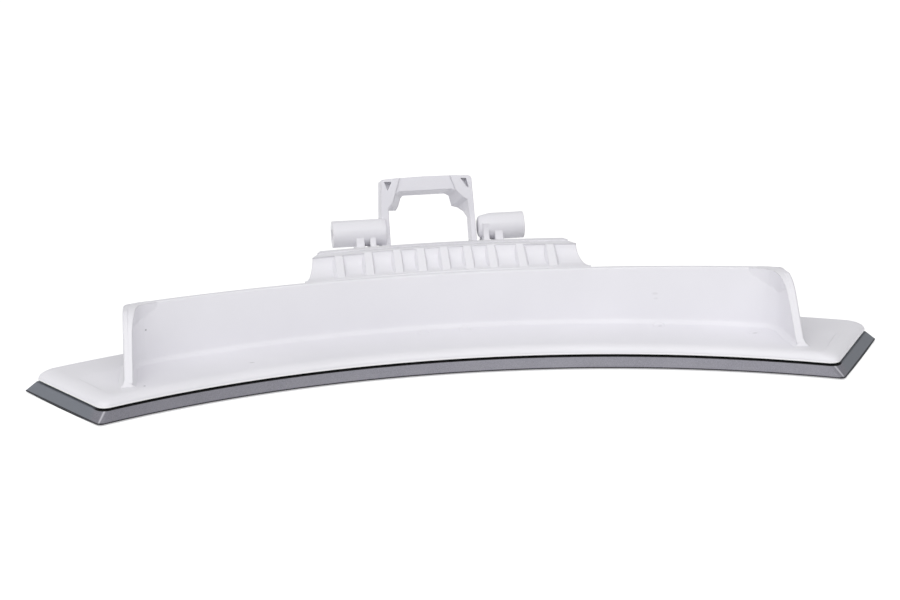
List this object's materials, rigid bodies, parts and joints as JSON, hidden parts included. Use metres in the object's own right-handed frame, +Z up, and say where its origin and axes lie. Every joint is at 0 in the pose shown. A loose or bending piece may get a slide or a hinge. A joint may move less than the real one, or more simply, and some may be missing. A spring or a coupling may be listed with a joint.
{
  "type": "dryer door handle",
  "caption": "Curved white pull handle with a painted bevelled front fascia, a tall cheeked grip wall, a ribbed block, side hinge barrels and an open latch loop.",
  "frame": {"origin": "bottom centre of the bounding box: under the middle of the handle, on the lowest line of the painted face", "axes": "+X to the right along the handle, +Y from the fingers' side towards the hinge, +Z up out of the painted face"},
  "size_m": [0.2998, 0.1252, 0.0491],
  "materials": {
    "body_plastic": "white moulded plastic with a soft satin sheen",
    "fascia_paint": "silver-grey metallic paint over black plastic"
  },
  "bodies": {
    "root": {"handle_body": "body_plastic", "front_fascia": "fascia_paint"}
  },
  "joints": []
}
